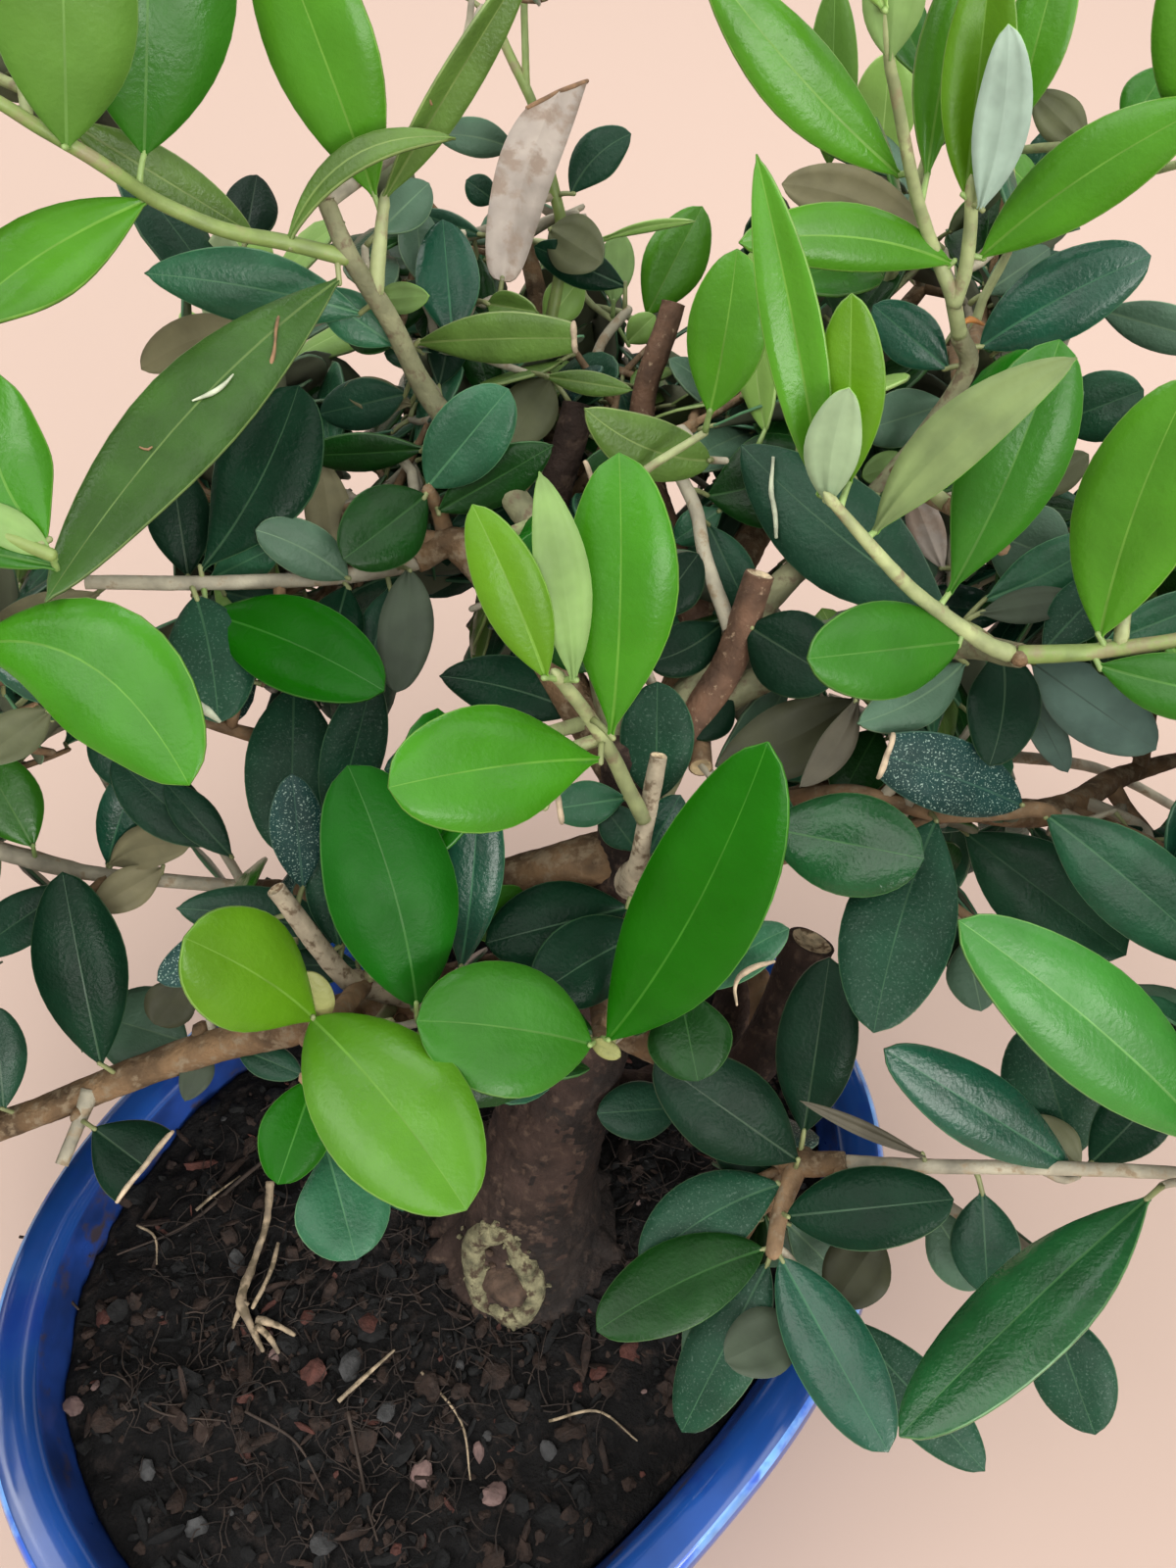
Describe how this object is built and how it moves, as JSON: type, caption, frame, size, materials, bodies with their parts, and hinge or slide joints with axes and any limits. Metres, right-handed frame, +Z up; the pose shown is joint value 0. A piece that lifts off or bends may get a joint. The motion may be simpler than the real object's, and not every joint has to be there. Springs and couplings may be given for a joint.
{
  "type": "olive bonsai in an oval glazed pot",
  "caption": "Small olive bonsai with a leaning, flared trunk, pruned boughs and leafy crown, growing in soil in a blue glazed oval pot that stands on its flat underside.",
  "frame": {"origin": "centre of the pot's flat underside, on the surface the pot stands on", "axes": "+Z up; +Y from the side the plant is looked at towards its back; +X to the right of that view; the pot's long axis is turned 44 degrees from +X towards +Y"},
  "size_m": [0.257, 0.211, 0.2409],
  "materials": {
    "pot_glaze": "glossy cobalt blue glaze, paler along the lip",
    "soil": "damp dark potting mix with bark chips and fibres",
    "bark": "matt grey-brown bark with pale pores",
    "cut_wood": "matt weathered bark with dry cut ends",
    "young_leaf": "satin bright green, paler midrib",
    "old_leaf": "leathery dark blue-green with a thin pale edge"
  },
  "bodies": {
    "root": {"pot": "pot_glaze", "soil": "soil", "trunk": "bark", "bough_left_low": "bark", "bough_left_mid": "bark", "bough_left_high": "bark", "bough_top_left": "bark", "bough_back": "bark", "bough_back_right": "bark", "bough_top_right": "bark", "bough_right": "bark", "bough_right_high": "bark", "bough_right_low": "bark", "stub_right_thick": "cut_wood", "stub_left": "cut_wood", "stub_centre": "cut_wood", "stub_right_up": "cut_wood", "stub_back": "cut_wood", "stub_back_right": "cut_wood", "leaves_top_left": "young_leaf", "leaves_left_high": "young_leaf", "leaves_centre_front": "young_leaf", "leaves_front_left": "young_leaf", "leaves_top_right": "young_leaf", "leaves_right_high": "young_leaf", "leaves_right_front": "young_leaf", "leaves_left_mid": "old_leaf", "leaves_left_low": "old_leaf", "leaves_left_far": "old_leaf", "leaves_back_left": "old_leaf", "leaves_back_high": "old_leaf", "leaves_back": "old_leaf", "leaves_back_right": "old_leaf", "leaves_right_back": "old_leaf", "leaves_right_far": "old_leaf", "leaves_right_mid": "old_leaf", "leaves_right_low": "old_leaf", "leaves_core": "old_leaf"}
  },
  "joints": []
}
